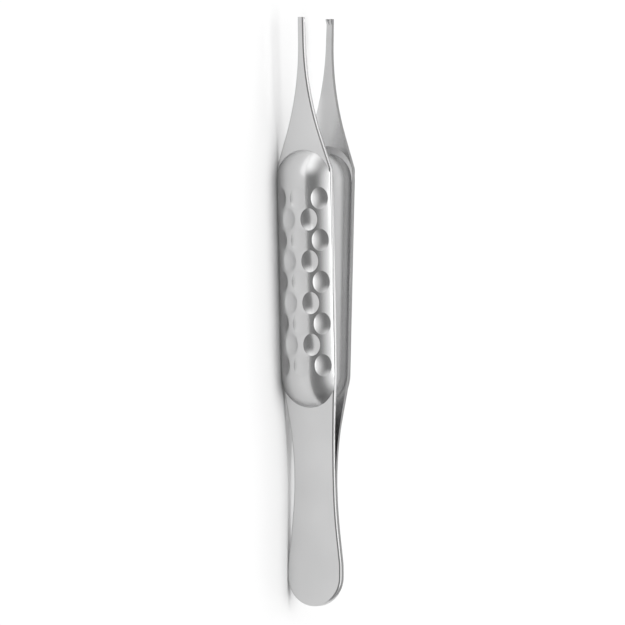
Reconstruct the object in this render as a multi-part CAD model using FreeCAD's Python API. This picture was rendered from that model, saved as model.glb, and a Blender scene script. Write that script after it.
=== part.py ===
"""Toothed dissecting forceps (surgical tweezers) with hollow, dimpled thumb grips.

Two pressed steel arms lie back to back and are welded together at the butt. In front of the weld each arm
narrows and thins to a springy waist, bends outwards, carries a pressed grip that is domed outside and hollow
inside, and tapers to a slender jaw. One jaw ends in a single tooth and the other in two, which interlock.

The datum for all sizes is the end of the butt, on the plane between the arms and at mid width: x runs to the
tips, y across the opening and z across the width. The finished pieces are moved so that the forceps lie on
their side edges, with the origin under the middle of the part. Lengths are in millimetres, angles in degrees.
"""

import FreeCAD
import Part
import math
import os

from FreeCAD import Vector

# Overall sizes
OVERALL_LENGTH = 120.0
GRIP_WIDTH = 12.3
BUTT_WIDTH = 12.0

# Plan outline, half of which is drawn: places along the arm, and the radii that join its straight runs
BUTT_SIDE_END = 8.5
WAIST_CORNER = 26.8
WAIST_CORNER_WIDTH = 7.6
GRIP_START = 47.4
SHOULDER = 89.2
TAPER_LENGTH = 15.8
JAW_WIDTH = 1.45
JAW_TIP_WIDTH = 1.15
BUTT_SIDE_RADIUS = 15.0
WAIST_RADIUS = 108.0
GRIP_START_RADIUS = 20.0
SHOULDER_RADIUS = 2.0
TAPER_RADIUS = 60.0

# Side profile of an arm: where its inner face bends, and its angle to the middle plane after each bend
FIRST_BEND = 29.0
SECOND_BEND = 47.0
THIRD_BEND = 93.0
SPRING_ANGLE = 7.25
ARM_ANGLE = 2.86
FIRST_BEND_RADIUS = 90.0
SECOND_BEND_RADIUS = 60.0
THIRD_BEND_RADIUS = 300.0
SPRING_THICKNESS = 0.8
SHEET_THICKNESS = 1.15
TIP_THICKNESS = 0.98
THICKENING_AFTER_FIRST_BEND = 7.5
THICKENING_BEFORE_SECOND_BEND = 4.0
THICKENING_RADIUS = 20.0

# Weld at the butt, set in a little from the edge all round so that the seam shows
WELD_LENGTH = 15.0
WELD_GAP = 0.08
WELD_INSET = 0.3
WELD_BITE = 0.1

# Pressed grip: a dome outside and a hollow inside, each a round bar's shape with ball ends
DOME_HEIGHT = 4.1
DOME_SIDE_HEIGHT = 1.22
DOME_REAR_SETBACK = 0.2
DOME_FRONT_SETBACK = 2.35
DOME_INSET = 0.06
DOME_EDGE_RADIUS = 0.3
GRIP_WALL = 1.15
GRIP_RIM = 0.2
DISH_RADIUS = 20.0
DISH_MARGIN = 0.05
DISH_SHIFT = 1.0

# Dimples in rows across the dome, three and two by turns
DIMPLE_LENGTH = 4.5
DIMPLE_DEPTH = 0.46
DIMPLE_ROWS = 9
DIMPLE_PITCH = 4.25
DIMPLE_FIRST_ROW = 2.1
OUTER_COLUMN_ANGLE = 33.4
INNER_COLUMN_ANGLE = 16.9

# Jaws and teeth, as they are ground with the tips closed
JAW_FACE_LENGTH = 4.0
CLOSED_CLEARANCE = 0.04
TOOTH_HEIGHT = 0.6
TOOTH_LENGTH = 1.2
TOOTH_WIDTH = 0.62
TOOTH_CREST_LENGTH = 0.3
TOOTH_CLEARANCE = 0.03
TOOTH_ROOT = 0.2

# Place where an arm bends when it is squeezed: the border between the springy root and the stiff arm
SPRING_AXIS = 27.0

# Chamfer that breaks the blade's outer edges: its width on the broad face and its depth down the side
EDGE_BREAK_WIDTH = 0.25
EDGE_BREAK_DEPTH = 0.12

# Room that a cutting tool stands past the stock
OVERCUT = 3.0

UP = Vector(0, 0, 1)
OUTWARD = Vector(0, 1, 0)


def unit(angle):
    """Direction in the xy plane at an angle from the x axis."""
    return Vector(math.cos(math.radians(angle)), math.sin(math.radians(angle)), 0)


def rounded_path(corners):
    """Lines through the corners, each given as a point and the radius of the arc that rounds it."""
    edges = []
    start = corners[0][0]
    for (before, _), (corner, radius), (after, _) in zip(corners, corners[1:], corners[2:]):
        back = (before - corner).normalize()
        ahead = (after - corner).normalize()
        half_turn = (math.pi - back.getAngle(ahead)) / 2
        if radius == 0 or half_turn < 1e-6:
            edges.append(Part.LineSegment(start, corner).toShape())
            start = corner
            continue
        tangent = radius * math.tan(half_turn)
        arc_start = corner + back * tangent
        arc_end = corner + ahead * tangent
        inward = (back + ahead).normalize()
        middle = corner + inward * (radius / math.cos(half_turn) - radius)
        edges.append(Part.LineSegment(start, arc_start).toShape())
        edges.append(Part.Arc(arc_start, middle, arc_end).toShape())
        start = arc_end
    edges.append(Part.LineSegment(start, corners[-1][0]).toShape())
    return edges


def inner_line_corners():
    """Corners of the arm's inner face in side view, from the butt to past the tip."""
    root = Vector(0, WELD_GAP / 2, 0)
    first = Vector(FIRST_BEND, WELD_GAP / 2, 0)
    second = first + unit(SPRING_ANGLE) * ((SECOND_BEND - FIRST_BEND) / unit(SPRING_ANGLE).x)
    end = second + unit(ARM_ANGLE) * ((OVERALL_LENGTH + OVERCUT - SECOND_BEND) / unit(ARM_ANGLE).x)
    return [(root, 0), (first, FIRST_BEND_RADIUS), (second, SECOND_BEND_RADIUS), (end, 0)]


def on_slope(corner, slope, length, height):
    """Point above a sloping line through the corner, at a length from the butt."""
    return corner + unit(slope) * ((length - corner.x) / unit(slope).x) + unit(slope + 90) * height


def offset_corner(corner, slope_before, slope_after, thickness):
    """The corner moved outwards by a thickness measured square to both of its lines."""
    middle = (slope_before + slope_after) / 2
    reach = thickness / math.cos(math.radians(slope_after - slope_before) / 2)
    return corner + unit(middle + 90) * reach


def outer_line_corners():
    """Corners of the arm's outer face: thin over the spring, full over the grip, thinner at the tip."""
    (root, _), (first, _), (second, _), (end, _) = inner_line_corners()
    thinning = (SHEET_THICKNESS - TIP_THICKNESS) / (OVERALL_LENGTH - THIRD_BEND)
    past_tip = TIP_THICKNESS - OVERCUT * thinning
    thin_until = FIRST_BEND + THICKENING_AFTER_FIRST_BEND
    full_from = SECOND_BEND - THICKENING_BEFORE_SECOND_BEND
    return [
        (root + OUTWARD * SPRING_THICKNESS, 0),
        (offset_corner(first, 0, SPRING_ANGLE, SPRING_THICKNESS), FIRST_BEND_RADIUS - SPRING_THICKNESS),
        (on_slope(first, SPRING_ANGLE, thin_until, SPRING_THICKNESS), THICKENING_RADIUS),
        (on_slope(first, SPRING_ANGLE, full_from, SHEET_THICKNESS), THICKENING_RADIUS),
        (offset_corner(second, SPRING_ANGLE, ARM_ANGLE, SHEET_THICKNESS), SECOND_BEND_RADIUS),
        (on_slope(second, ARM_ANGLE, THIRD_BEND, SHEET_THICKNESS), THIRD_BEND_RADIUS),
        (end + unit(ARM_ANGLE + 90) * past_tip, 0),
    ]


def bent_strip():
    """The arm's side profile as a strip of full width."""
    inner = rounded_path(inner_line_corners())
    outer = rounded_path(outer_line_corners())
    tip_end = Part.LineSegment(inner[-1].lastVertex().Point, outer[-1].lastVertex().Point).toShape()
    butt_end = Part.LineSegment(outer[0].firstVertex().Point, inner[0].firstVertex().Point).toShape()
    loop = Part.Wire(Part.__sortEdges__(inner + [tip_end] + outer + [butt_end]))
    strip = Part.Face(loop).extrude(UP * (GRIP_WIDTH + 2 * OVERCUT))
    strip.translate(UP * -(GRIP_WIDTH / 2 + OVERCUT))
    return strip


def in_plan(length, half_width):
    return Vector(length, 0, half_width)


def plan_outline(inset):
    """Closed outline of the arm seen square to its outer face, narrowed by an inset on both sides."""
    butt_radius = BUTT_WIDTH / 2 - inset
    past_tip = OVERALL_LENGTH + OVERCUT
    corners = [
        (in_plan(BUTT_WIDTH / 2, butt_radius), 0),
        (in_plan(BUTT_SIDE_END, butt_radius), BUTT_SIDE_RADIUS),
        (in_plan(WAIST_CORNER, WAIST_CORNER_WIDTH / 2 - inset), WAIST_RADIUS),
        (in_plan(GRIP_START, GRIP_WIDTH / 2 - inset), GRIP_START_RADIUS),
        (in_plan(SHOULDER, GRIP_WIDTH / 2 - inset), SHOULDER_RADIUS),
        (in_plan(SHOULDER + TAPER_LENGTH, JAW_WIDTH / 2 - inset), TAPER_RADIUS),
        (in_plan(past_tip, JAW_TIP_WIDTH / 2 - inset), 0),
    ]
    upper = rounded_path(corners)
    lower = [edge.mirror(Vector(0, 0, 0), UP) for edge in upper]
    top, bottom = upper[0].firstVertex().Point, lower[0].firstVertex().Point
    butt_end = Part.Arc(top, in_plan(inset, 0), bottom).toShape()
    tip_end = Part.LineSegment(corners[-1][0], lower[-1].lastVertex().Point).toShape()
    return Part.Wire(Part.__sortEdges__(upper + lower + [butt_end, tip_end]))


def plan_prism(inset=0.0):
    """Everything inside the plan outline, from under the arm to above the dome."""
    prism = Part.Face(plan_outline(inset)).extrude(OUTWARD * (GRIP_WIDTH + 2 * OVERCUT))
    prism.translate(OUTWARD * -OVERCUT)
    return prism


def is_outer(face):
    """Whether a face of the blade is part of its broad outer side."""
    first_u, last_u, first_v, last_v = face.ParameterRange
    return face.normalAt((first_u + last_u) / 2, (first_v + last_v) / 2).y > 0.5


def blade():
    """The arm before its grip is pressed: a flat, bent blade whose outer edges are broken."""
    # The outer faces come first, because a chamfer's first size is measured on the earlier face
    faces = sorted(bent_strip().common(plan_prism()).Faces, key=is_outer, reverse=True)
    sharp = Part.Solid(Part.Shell(faces))
    past_tip = OVERALL_LENGTH + OVERCUT / 2
    along = [
        edge
        for face in sharp.Faces
        if is_outer(face)
        for edge in face.Edges
        if edge.BoundBox.XLength > 1e-3 and edge.BoundBox.XMin < past_tip
    ]
    return sharp.makeChamfer(EDGE_BREAK_WIDTH, EDGE_BREAK_DEPTH, along)


def grip_placement():
    """Frame of the grip: its x runs along the inner face from the second bend, its y points outwards."""
    second = inner_line_corners()[2][0]
    return FreeCAD.Placement(second, FreeCAD.Rotation(UP, ARM_ANGLE))


def ball_radius(rim_radius, depth):
    """Radius of a ball that stands out of a plane by a depth and meets it in a circle of the rim's radius."""
    return (rim_radius**2 + depth**2) / (2 * depth)


def dome_radius():
    """Radius of the dome, which spans the grip's width between its two side walls."""
    return ball_radius(GRIP_WIDTH / 2, DOME_HEIGHT - DOME_SIDE_HEIGHT)


def dome_centres():
    """Places of the dome's first and last ball in the grip's frame, set back from the grip's corners."""
    stretch = unit(ARM_ANGLE).x
    first = (GRIP_START - DOME_REAR_SETBACK - SECOND_BEND) / stretch
    last = (SHOULDER - DOME_FRONT_SETBACK - SECOND_BEND) / stretch
    return first, last


def round_bar(radius, crest):
    """A bar with ball ends, lying along the grip with its crest at a height, in the grip's frame."""
    first, last = dome_centres()
    start = Vector(first, crest - radius, 0)
    end = Vector(last, crest - radius, 0)
    bar = Part.makeCylinder(radius, last - first, start, Vector(1, 0, 0))
    return bar.fuse([Part.makeSphere(radius, start), Part.makeSphere(radius, end)]).removeSplitter()


def placed_in_grip(shape):
    moved = shape.copy()
    moved.Placement = grip_placement().multiply(moved.Placement)
    return moved


def dome():
    """Outside of the pressed grip, down to half way through the blade, with rounded side edges."""
    first, last = dome_centres()
    half_width = GRIP_WIDTH / 2 - DOME_INSET
    size = (last - first + 2 * GRIP_WIDTH, GRIP_WIDTH, 2 * half_width)
    room = Part.makeBox(*size, Vector(first - GRIP_WIDTH, SHEET_THICKNESS / 2, -half_width))
    sharp = round_bar(dome_radius(), DOME_HEIGHT).common(room)
    sides = [
        edge
        for edge in sharp.Edges
        if edge.BoundBox.ZLength < 1e-3 and edge.BoundBox.YMax > SHEET_THICKNESS
    ]
    return placed_in_grip(sharp.makeFillet(DOME_EDGE_RADIUS, sides)).common(plan_prism(DOME_INSET / 2))


def hollow():
    """Inside of the pressed grip: a trough with round ends and a shallow dish at its front end."""
    crest = DOME_HEIGHT - GRIP_WALL
    trough = round_bar(ball_radius(GRIP_WIDTH / 2 - GRIP_RIM, crest), crest)
    rim_radius = GRIP_WIDTH / 2 - DISH_MARGIN
    below = math.sqrt(DISH_RADIUS**2 - rim_radius**2)
    dish = Part.makeSphere(DISH_RADIUS, Vector(dome_centres()[1] + DISH_SHIFT, -below, 0))
    return [placed_in_grip(trough), placed_in_grip(dish)]


def dimple_cutters():
    """Balls that press the dimples into the dome, square to its surface."""
    ball = ball_radius(DIMPLE_LENGTH / 2, DIMPLE_DEPTH)
    reach = dome_radius() - DIMPLE_DEPTH + ball
    axis_height = DOME_HEIGHT - dome_radius()
    balls = []
    for row in range(DIMPLE_ROWS):
        along = dome_centres()[0] + DIMPLE_FIRST_ROW + row * DIMPLE_PITCH
        three = (-OUTER_COLUMN_ANGLE, 0, OUTER_COLUMN_ANGLE)
        two = (-INNER_COLUMN_ANGLE, INNER_COLUMN_ANGLE)
        for angle in three if row % 2 == 0 else two:
            lean = math.radians(angle)
            centre = Vector(along, axis_height + reach * math.cos(lean), reach * math.sin(lean))
            balls.append(placed_in_grip(Part.makeSphere(ball, centre)))
    return balls


def arm_stock():
    """A whole arm with its pressed grip, before its jaw is ground."""
    pressed = blade().fuse(dome()).removeSplitter()
    return pressed.cut(hollow() + dimple_cutters())


def inner_point(length):
    """Point of the arm's inner face at a length from the butt."""
    inner = Part.Wire(rounded_path(inner_line_corners()))
    across = Part.LineSegment(Vector(length, -OVERCUT, 0), Vector(length, GRIP_WIDTH, 0)).toShape()
    return inner.distToShape(across)[1][0][0]


def closing_angle():
    """Turn about the spring axis that brings the back of the jaw face to the middle plane."""
    reach = inner_point(OVERALL_LENGTH - JAW_FACE_LENGTH) - inner_point(SPRING_AXIS)
    drop = inner_point(SPRING_AXIS).y - CLOSED_CLEARANCE / 2
    return math.degrees(math.atan2(reach.y, reach.x) + math.asin(drop / reach.Length))


def turned(shape, angle):
    """The shape turned about the spring axis: closing is negative, opening is positive."""
    moved = shape.copy()
    moved.rotate(inner_point(SPRING_AXIS), UP, angle)
    return moved


def closed_tip():
    """How far out the tip lies when the arm is squeezed shut."""
    tip = Part.Vertex(Vector(OVERALL_LENGTH, inner_point(OVERALL_LENGTH).y, 0))
    return turned(tip, -closing_angle()).Point.x


def tooth_side(depth, root, margin):
    """Side view of a tooth, or of its recess, as a bar across the jaw: depth and root are heights."""
    tip = closed_tip()
    start = tip - TOOTH_LENGTH - margin
    crest = tip - TOOTH_CREST_LENGTH - margin
    end = tip + OVERCUT
    points = [(start, 0), (crest, depth), (end, depth), (end, root), (start, root), (start, 0)]
    face = Part.Face(Part.makePolygon([Vector(x, y, -GRIP_WIDTH) for x, y in points]))
    return face.extrude(UP * (2 * GRIP_WIDTH))


def middle_wedge(margin):
    """Plan of the single tooth: a wedge that widens from a point to the tip."""
    tip = closed_tip()
    slope = TOOTH_WIDTH / 2 / TOOTH_LENGTH
    start = tip - TOOTH_LENGTH - margin / slope
    end = tip + OVERCUT
    half = (end - start) * slope
    corners = [Vector(start, -GRIP_WIDTH, 0), Vector(end, -GRIP_WIDTH, half), Vector(end, -GRIP_WIDTH, -half)]
    return Part.Face(Part.makePolygon(corners + corners[:1])).extrude(OUTWARD * (2 * GRIP_WIDTH))


def ground_arm(stock, has_single_tooth):
    """The arm with its jaw face, teeth and tip ground, on the outward side of the middle plane."""
    angle = closing_angle()
    closed = turned(stock, -angle)
    back = closed_tip() - JAW_FACE_LENGTH - OVERCUT
    grinder = Part.makeBox(
        OVERCUT * 3 + JAW_FACE_LENGTH, OVERCUT, GRIP_WIDTH,
        Vector(back, CLOSED_CLEARANCE / 2 - OVERCUT, -GRIP_WIDTH / 2),
    )
    ground = closed.cut(grinder)
    tooth = tooth_side(-TOOTH_HEIGHT, TOOTH_ROOT, 0).common(plan_prism(TOOTH_CLEARANCE))
    recess = tooth_side(TOOTH_HEIGHT + TOOTH_CLEARANCE, -TOOTH_HEIGHT - TOOTH_CLEARANCE, TOOTH_CLEARANCE)
    if has_single_tooth:
        tooth = tooth.common(middle_wedge(-TOOTH_CLEARANCE / 2))
        recess = recess.cut(middle_wedge(-TOOTH_CLEARANCE / 2))
    else:
        tooth = tooth.cut(middle_wedge(TOOTH_CLEARANCE / 2))
        recess = recess.common(middle_wedge(TOOTH_CLEARANCE / 2))
    toothed = ground.cut(recess).fuse(tooth)
    past_tip = Part.makeBox(
        2 * OVERCUT, 2 * GRIP_WIDTH, 2 * GRIP_WIDTH, Vector(OVERALL_LENGTH, -GRIP_WIDTH, -GRIP_WIDTH)
    )
    return turned(toothed, angle).cut(past_tip)


def mirrored(shape):
    return shape.mirror(Vector(0, 0, 0), OUTWARD)


def weld():
    """Filler that joins the two arms at the butt."""
    half = WELD_GAP / 2 + WELD_BITE
    filler = Part.Face(plan_outline(WELD_INSET)).extrude(OUTWARD * (2 * half))
    filler.translate(OUTWARD * -half)
    ahead = Part.makeBox(
        OVERALL_LENGTH, GRIP_WIDTH, 2 * GRIP_WIDTH, Vector(WELD_LENGTH, -GRIP_WIDTH / 2, -GRIP_WIDTH)
    )
    return filler.cut(ahead)


def build():
    """Makes every piece, in its place."""
    stock = arm_stock()
    single = ground_arm(stock, True)
    twin = mirrored(ground_arm(stock, False))
    rear = Part.makeBox(
        SPRING_AXIS + OVERCUT, 2 * GRIP_WIDTH, 2 * GRIP_WIDTH, Vector(-OVERCUT, -GRIP_WIDTH, -GRIP_WIDTH)
    )
    butt = single.common(rear).fuse([twin.common(rear), weld()]).removeSplitter()
    pieces = {
        "welded_butt": butt,
        "single_tooth_arm": single.cut(rear),
        "twin_tooth_arm": twin.cut(rear),
    }
    for piece in pieces.values():
        piece.translate(Vector(-OVERALL_LENGTH / 2, 0, GRIP_WIDTH / 2))
    return pieces


if __name__ == "__main__":
    os.makedirs("parts", exist_ok=True)
    for name, shape in build().items():
        shape.exportStep(os.path.join("parts", name + ".step"))
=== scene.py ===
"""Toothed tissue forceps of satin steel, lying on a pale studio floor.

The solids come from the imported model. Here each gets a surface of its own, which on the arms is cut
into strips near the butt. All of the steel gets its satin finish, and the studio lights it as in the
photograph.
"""

import math

import bmesh
import bpy
from mathutils import Matrix, Vector
from mathutils.bvhtree import BVHTree


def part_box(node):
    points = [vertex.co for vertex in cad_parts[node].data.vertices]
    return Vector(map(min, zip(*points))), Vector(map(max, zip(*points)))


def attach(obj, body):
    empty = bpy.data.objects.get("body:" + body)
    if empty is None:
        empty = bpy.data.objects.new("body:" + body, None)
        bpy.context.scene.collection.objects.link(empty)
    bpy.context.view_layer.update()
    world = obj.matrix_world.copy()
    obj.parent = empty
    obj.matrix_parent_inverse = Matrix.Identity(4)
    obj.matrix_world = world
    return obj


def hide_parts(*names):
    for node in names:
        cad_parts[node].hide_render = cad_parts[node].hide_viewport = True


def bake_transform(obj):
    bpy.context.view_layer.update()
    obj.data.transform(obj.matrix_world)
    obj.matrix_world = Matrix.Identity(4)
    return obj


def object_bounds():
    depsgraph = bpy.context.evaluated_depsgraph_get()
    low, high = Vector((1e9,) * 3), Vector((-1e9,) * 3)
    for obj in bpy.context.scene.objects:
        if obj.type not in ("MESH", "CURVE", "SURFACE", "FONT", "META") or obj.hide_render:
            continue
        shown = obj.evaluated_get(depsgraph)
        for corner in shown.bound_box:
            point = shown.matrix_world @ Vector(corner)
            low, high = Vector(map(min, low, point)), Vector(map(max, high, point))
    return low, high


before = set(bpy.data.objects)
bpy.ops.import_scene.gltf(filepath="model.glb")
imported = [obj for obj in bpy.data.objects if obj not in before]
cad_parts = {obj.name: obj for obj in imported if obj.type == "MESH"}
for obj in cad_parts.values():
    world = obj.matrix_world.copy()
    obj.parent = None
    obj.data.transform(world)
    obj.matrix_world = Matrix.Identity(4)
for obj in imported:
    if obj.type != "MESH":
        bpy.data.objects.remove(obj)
cad_low, cad_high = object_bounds()

MM = 0.001
ARMS = ("single_tooth_arm", "twin_tooth_arm")
BUTT = "welded_butt"

# The part of an arm that bends, and the strips that it is cut into
BEND_LENGTH = 14 * MM
BEND_STRIPS = 14

# Corners closer together than this are one, and those closer to a plane than this lie in it
NEAR = 1e-8
IN_PLANE = 10 * NEAR

# A triangle whose sides' determinant is smaller than this has no inside
NO_AREA = 1e-30

# A corner's normal is looked up this share of the way to its face's centre, so that it is found on
# the face's own side of an edge
LOOK_UP_SHARE = 0.02

# The arms' sides are a little crowned, in the shading alone: along its outer edge, a face whose
# normal has less than SIDE_LIMIT across the opening looks outwards by SIDE_CROWN
SIDE_CROWN = math.radians(12)
SIDE_LIMIT = 0.1

# The steel's colour where it is clouded least and most, and the painted shade of the dark line along
# its edges
DARK_STEEL = (0.56, 0.56, 0.562, 1)
PALE_STEEL = (0.60, 0.60, 0.602, 1)
PAINTED_EDGE_SHADE = (0.30, 0.30, 0.302, 1)

# Noise textures: how fine each is per metre and how detailed. The marks run along the forceps.
GRAIN = (9000, 2)
MARKS = (700, 4)
MARKS_STRETCH = (0.12, 1, 1)
CLOUDS = (90, 3)
NOISE_SPAN = (0.3, 0.7)

# The painted shade along an edge, a dark line for what a rounded edge would reflect: how far it
# reaches, the flatness at which it is full and where it ends, and how much of it is left where the
# marks are faintest
EDGE_REACH = 0.1 * MM
EDGE_SAMPLES = 6
EDGE_FLATNESS = (0.97, 0.997)
LEAST_EDGE_SHADE = 0.35

# Roughness over the marks, what the grain adds or takes, and what is taken along the painted edge shade
MARKS_ROUGHNESS = (0.17, 0.23)
GRAIN_ROUGHNESS = (-0.02, 0.02)
EDGE_LINE_ROUGHNESS = 0.06

# Relief: the marks' share beside the grain, and how deep and strong both are
MARKS_RELIEF = 0.5
RELIEF_DEPTH = 0.02 * MM
RELIEF_STRENGTH = 0.05

# The floor
FLOOR_SIZE = 12
FLOOR_COLOUR = (0.83, 0.83, 0.83)
FLOOR_ROUGHNESS = 0.9
FLOOR_SPECULAR = 0.2

# Lit panels: name, place, size, radiance and the point that they face. The reflectors lie on the
# floor and stand for the white card's glow between the arms and beyond the tips.
SOFTBOXES = (
    ("overhead_softbox", (0, 0.05, 1.5), (1.5, 0.95), 2.2, (0, 0, 0)),
    ("rear_softbox", (0, -1.14, 1.07), (1.6, 0.5), 0.95, (0, 0, 0)),
    ("inner_reflector", (0.015, 0.0, 0.0005), (0.06, 0.006), 0.32, (0.015, 0.0, 1)),
    ("tip_reflector", (0.11, 0.098, 0.0005), (0.15, 0.144), 0.45, (0.11, 0.098, 1)),
    ("far_reflector", (0.125, 0.11, 0.0008), (0.15, 0.12), 0.15, (0.125, 0.11, 1)),
)

# The room: levels of the wall on the camera's side and of the one behind, each against the sine of
# the height that is looked at, and the span of the direction's Y over which one becomes the other
FRONT_WALL = ((0.0, 0.17), (0.42, 0.13), (0.60, 0.20), (0.76, 0.44), (0.92, 0.68), (1.0, 0.75))
REAR_WALL = ((0.0, 0.20), (0.25, 0.26), (0.70, 0.34), (1.0, 0.6))
WALL_SPAN = (-0.35, 0.35)
ROOM_LIGHT = 2.0

# A glow low down beyond the tips, and a shade beyond the butt, with their spans of the direction's
# X and Z
TIP_GLOW = 0.68
GLOW_SPAN = (0.1, 0.65)
GLOW_HEIGHT_SPAN = (0.1, 0.75)
BUTT_SHADE = 0.6
SHADE_SPAN = (-0.97, -0.80)

# Camera: square to the length, on the single tooth arm's side and this far up from floor level
TURN = math.radians(27.5)
DISTANCE = 1.6
FRAME_WIDTH = 127.55 * MM
AIM_ALONG = -0.083 * MM
AIM_ACROSS = -0.69 * MM
SENSOR_WIDTH = 36
CLIP_START, CLIP_END = 0.05, 50


def math_node(tree, operation, first, second):
    """The sum, product or so of two values, each a number or another node's output."""
    node = tree.nodes.new("ShaderNodeMath")
    node.operation = operation
    for socket, value in zip(node.inputs, (first, second)):
        if isinstance(value, (int, float)):
            socket.default_value = value
        else:
            tree.links.new(value, socket)
    return node.outputs[0]


def vector_node(tree, operation, first, second):
    """The sum, dot product or scaling of a vector with another node's output."""
    node = tree.nodes.new("ShaderNodeVectorMath")
    node.operation = operation
    tree.links.new(first, node.inputs[0])
    tree.links.new(second, node.inputs["Scale" if operation == "SCALE" else 1])
    return node.outputs["Value" if operation == "DOT_PRODUCT" else "Vector"]


def noise(tree, vector, scale, detail, stretch=(1, 1, 1)):
    mapping = tree.nodes.new("ShaderNodeMapping")
    mapping.inputs["Scale"].default_value = stretch
    tree.links.new(vector, mapping.inputs["Vector"])
    texture = tree.nodes.new("ShaderNodeTexNoise")
    texture.inputs["Scale"].default_value = scale
    texture.inputs["Detail"].default_value = detail
    tree.links.new(mapping.outputs["Vector"], texture.inputs["Vector"])
    return texture.outputs["Fac"]


def ranged(tree, value, span, levels, steps="LINEAR"):
    """Goes from the first level to the second while the value crosses the span."""
    node = tree.nodes.new("ShaderNodeMapRange")
    node.interpolation_type = steps
    node.inputs["From Min"].default_value, node.inputs["From Max"].default_value = span
    node.inputs["To Min"].default_value, node.inputs["To Max"].default_value = levels
    tree.links.new(value, node.inputs["Value"])
    return node.outputs["Result"]


def eased(tree, value, span, levels):
    """Goes smoothly from the first level to the second while the value crosses the span."""
    return ranged(tree, value, span, levels, "SMOOTHSTEP")


def mixed(tree, factor, first, second):
    """A mix of two colours, each a colour or another node's output."""
    node = tree.nodes.new("ShaderNodeMix")
    node.data_type = "RGBA"
    tree.links.new(factor, node.inputs["Factor"])
    for name, value in (("A", first), ("B", second)):
        if isinstance(value, tuple):
            node.inputs[name].default_value = value
        else:
            tree.links.new(value, node.inputs[name])
    return node.outputs["Result"]


def painted_edge_shade(tree, marks):
    """1 where a dark line of painted shade goes along an edge and 0 on its faces, broken up by the
    marks.
    """
    bevel = tree.nodes.new("ShaderNodeBevel")
    bevel.samples = EDGE_SAMPLES
    bevel.inputs["Radius"].default_value = EDGE_REACH
    normal = tree.nodes.new("ShaderNodeNewGeometry").outputs["Normal"]
    flatness = vector_node(tree, "DOT_PRODUCT", bevel.outputs["Normal"], normal)
    shaded_edge = ranged(tree, flatness, EDGE_FLATNESS, (1.0, 0.0))
    return math_node(tree, "MULTIPLY", shaded_edge, ranged(tree, marks, NOISE_SPAN, (LEAST_EDGE_SHADE, 1.0)))


def satin_steel():
    """Stainless steel with a fine satin finish: a close grain, faint marks, clouding, and a dark line
    of painted shade along the edges.
    """
    material = bpy.data.materials.new("satin_steel")
    material.use_nodes = True
    tree = material.node_tree
    shader = tree.nodes["Principled BSDF"]
    shader.inputs["Metallic"].default_value = 1.0
    place = tree.nodes.new("ShaderNodeTexCoord").outputs["Object"]
    grain = noise(tree, place, *GRAIN)
    marks = noise(tree, place, *MARKS, MARKS_STRETCH)
    clouds = noise(tree, place, *CLOUDS)
    # A dark line of painted shade along every edge, for what a rounded edge would reflect; the steel is
    # also smoother there
    shaded_edge = painted_edge_shade(tree, marks)

    cloudy = ranged(tree, clouds, NOISE_SPAN, (0.0, 1.0))
    clouded = mixed(tree, cloudy, DARK_STEEL, PALE_STEEL)
    # Base colour: clouded, and darkened along the edges with painted shade
    tree.links.new(mixed(tree, shaded_edge, clouded, PAINTED_EDGE_SHADE), shader.inputs["Base Color"])

    rough = ranged(tree, marks, NOISE_SPAN, MARKS_ROUGHNESS)
    rough = math_node(tree, "ADD", rough, ranged(tree, grain, NOISE_SPAN, GRAIN_ROUGHNESS))
    taken = math_node(tree, "MULTIPLY", shaded_edge, EDGE_LINE_ROUGHNESS)
    tree.links.new(math_node(tree, "SUBTRACT", rough, taken), shader.inputs["Roughness"])

    height = math_node(tree, "ADD", math_node(tree, "MULTIPLY", marks, MARKS_RELIEF), grain)
    bump = tree.nodes.new("ShaderNodeBump")
    bump.inputs["Strength"].default_value = RELIEF_STRENGTH
    bump.inputs["Distance"].default_value = RELIEF_DEPTH
    tree.links.new(height, bump.inputs["Height"])
    tree.links.new(bump.outputs["Normal"], shader.inputs["Normal"])
    return material


def triangle_shares(point, a, b, c):
    """How much each corner of a triangle counts at a point."""
    ab, ac, ap = b - a, c - a, point - a
    aa, bb, cc = ab.dot(ab), ab.dot(ac), ac.dot(ac)
    pa, pc = ap.dot(ab), ap.dot(ac)
    size = aa * cc - bb * bb
    if abs(size) < NO_AREA:
        return (1, 0, 0)
    second = max(0.0, min(1.0, (cc * pa - bb * pc) / size))
    third = max(0.0, min(1.0 - second, (aa * pc - bb * pa) / size))
    return (1 - second - third, second, third)


def source_normal(source, under, point):
    """The source mesh's normal at a point of one of its faces, between those of the face's corners."""
    shares = triangle_shares(point, *(source.vertices[v].co for v in under.vertices))
    corners = zip(under.loop_indices, shares)
    ends = [source.corner_normals[i].vector * share for i, share in corners]
    return sum(ends, Vector()).normalized()


def take_corner_normals(source, target):
    """Gives the target's corners the source mesh's normals there, and crowns the sides."""
    tree = BVHTree.FromPolygons(
        [vertex.co for vertex in source.vertices],
        [list(face.vertices) for face in source.polygons],
    )
    given = []
    for face in target.polygons:
        for loop in face.loop_indices:
            corner = target.vertices[target.loops[loop].vertex_index].co
            _, _, index, _ = tree.find_nearest(corner.lerp(face.center, LOOK_UP_SHARE))
            normal = source_normal(source, source.polygons[index], corner)
            if abs(normal.y) < SIDE_LIMIT and abs(corner.y) > abs(face.center.y):
                normal.y += math.copysign(math.tan(SIDE_CROWN), corner.y)
            given.append(normal.normalized())
    target.normals_split_custom_set(given)


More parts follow.
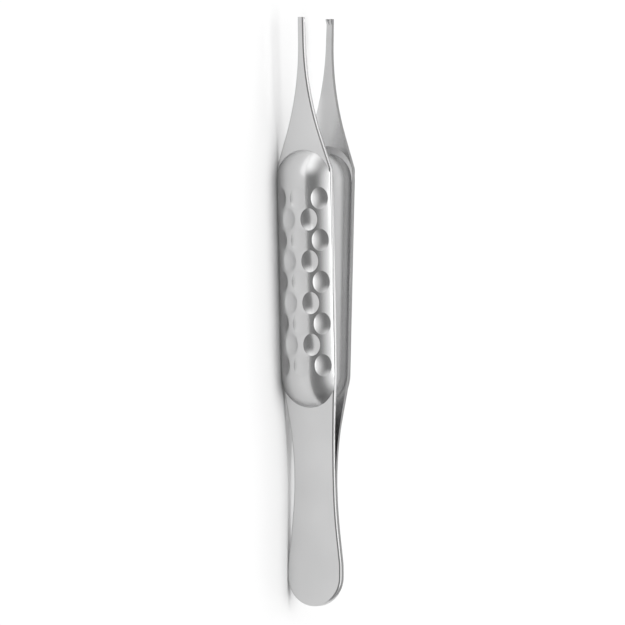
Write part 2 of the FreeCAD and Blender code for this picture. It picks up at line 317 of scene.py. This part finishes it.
def steel_surface(node, seam, strips, material):
    """A solid's surface, open where it runs on into the next, and cut into strips where the arm bends.
    """
    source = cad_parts[node].data
    mesh = source.copy()
    form = bmesh.new()
    form.from_mesh(mesh)
    bmesh.ops.remove_doubles(form, verts=form.verts, dist=NEAR)
    hidden = [
        face for face in form.faces if all(abs(v.co.x - seam) < IN_PLANE for v in face.verts)
    ]
    bmesh.ops.delete(form, geom=hidden, context="FACES")
    for strip in range(strips):
        bmesh.ops.bisect_plane(
            form,
            geom=form.verts[:] + form.edges[:] + form.faces[:],
            dist=IN_PLANE,
            plane_co=Vector((seam + BEND_LENGTH * (strip + 1) / strips, 0, 0)),
            plane_no=(1, 0, 0),
        )
    bmesh.ops.triangulate(form, faces=form.faces)
    form.to_mesh(mesh)
    form.free()
    for face in mesh.polygons:
        face.use_smooth = True
    take_corner_normals(source, mesh)
    mesh.materials.clear()
    mesh.materials.append(material)
    surface = bpy.data.objects.new(node + "_surface", mesh)
    bpy.context.scene.collection.objects.link(surface)
    if strips:
        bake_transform(surface)
    else:
        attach(surface, node)
    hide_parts(node)


def floor():
    material = bpy.data.materials.new("studio_floor")
    material.use_nodes = True
    shader = material.node_tree.nodes["Principled BSDF"]
    shader.inputs["Base Color"].default_value = (*FLOOR_COLOUR, 1)
    shader.inputs["Roughness"].default_value = FLOOR_ROUGHNESS
    shader.inputs["Specular IOR Level"].default_value = FLOOR_SPECULAR
    bpy.ops.mesh.primitive_plane_add(size=FLOOR_SIZE)
    plane = bpy.context.object
    plane.name = "studio_floor"
    plane.data.materials.append(material)


def softbox(name, place, size, radiance, towards):
    """A lit panel that faces a point and is seen only as a reflection."""
    light = bpy.data.lights.new(name, "AREA")
    light.shape = "RECTANGLE"
    light.size, light.size_y = size
    light.energy = radiance * math.pi * size[0] * size[1]
    lamp = bpy.data.objects.new(name, light)
    lamp.location = place
    aim = Vector(towards) - Vector(place)
    lamp.rotation_euler = aim.to_track_quat("-Z", "Y").to_euler()
    lamp.visible_camera = False
    bpy.context.scene.collection.objects.link(lamp)


def level_ramp(tree, height, stops):
    """Brightness of a wall against the height that is looked at."""
    ramp = tree.nodes.new("ShaderNodeValToRGB")
    elements = ramp.color_ramp.elements
    while len(elements) < len(stops):
        elements.new(0.5)
    for element, (place, level) in zip(elements, stops):
        element.position, element.color = place, (level, level, level, 1)
    tree.links.new(height, ramp.inputs["Fac"])
    return ramp.outputs["Color"]


def studio():
    """The room: dark at eye level, lighter above, with a glow at the tips and a shade at the butt."""
    world = bpy.data.worlds.new("studio")
    bpy.context.scene.world = world
    world.use_nodes = True
    tree = world.node_tree
    direction = tree.nodes.new("ShaderNodeSeparateXYZ")
    tree.links.new(tree.nodes.new("ShaderNodeTexCoord").outputs["Generated"], direction.inputs[0])
    along, across, height = (direction.outputs[axis] for axis in "XYZ")

    side = eased(tree, across, WALL_SPAN, (0, 1))
    front = level_ramp(tree, height, FRONT_WALL)
    rear = level_ramp(tree, height, REAR_WALL)
    walls = mixed(tree, side, rear, front)

    ahead = eased(tree, along, GLOW_SPAN, (0, TIP_GLOW))
    low_down = eased(tree, height, GLOW_HEIGHT_SPAN, (1, 0))
    glow = math_node(tree, "MULTIPLY", math_node(tree, "MULTIPLY", ahead, low_down), side)
    shade = eased(tree, along, SHADE_SPAN, (BUTT_SHADE, 1))
    lit = vector_node(tree, "ADD", vector_node(tree, "SCALE", walls, shade), glow)

    background = tree.nodes["Background"]
    background.inputs["Strength"].default_value = ROOM_LIGHT
    tree.links.new(lit, background.inputs["Color"])


def photograph_camera():
    """Level with the photograph: up in the picture is towards the tips."""
    back = Vector((0, math.cos(TURN), math.sin(TURN)))
    up = Vector((1, 0, 0))
    right = up.cross(back)
    data = bpy.data.cameras.new("camera")
    data.sensor_width = SENSOR_WIDTH
    data.lens = SENSOR_WIDTH * DISTANCE / FRAME_WIDTH
    data.clip_start, data.clip_end = CLIP_START, CLIP_END
    camera = bpy.data.objects.new("camera", data)
    bpy.context.scene.collection.objects.link(camera)
    middle = Vector((0, 0, (cad_low.z + cad_high.z) / 2))
    aim = middle + up * AIM_ALONG + right * AIM_ACROSS
    axes = Matrix((right, up, back)).transposed()
    camera.matrix_world = Matrix.Translation(aim + back * DISTANCE) @ axes.to_4x4()
    bpy.context.scene.camera = camera


steel = satin_steel()
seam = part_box(ARMS[0])[0].x
steel_surface(BUTT, seam, 0, steel)
for arm in ARMS:
    steel_surface(arm, seam, BEND_STRIPS, steel)

floor()
studio()
for panel in SOFTBOXES:
    softbox(*panel)
photograph_camera()

# The default view transform would turn the photograph's white floor grey
bpy.context.scene.view_settings.view_transform = "Standard"
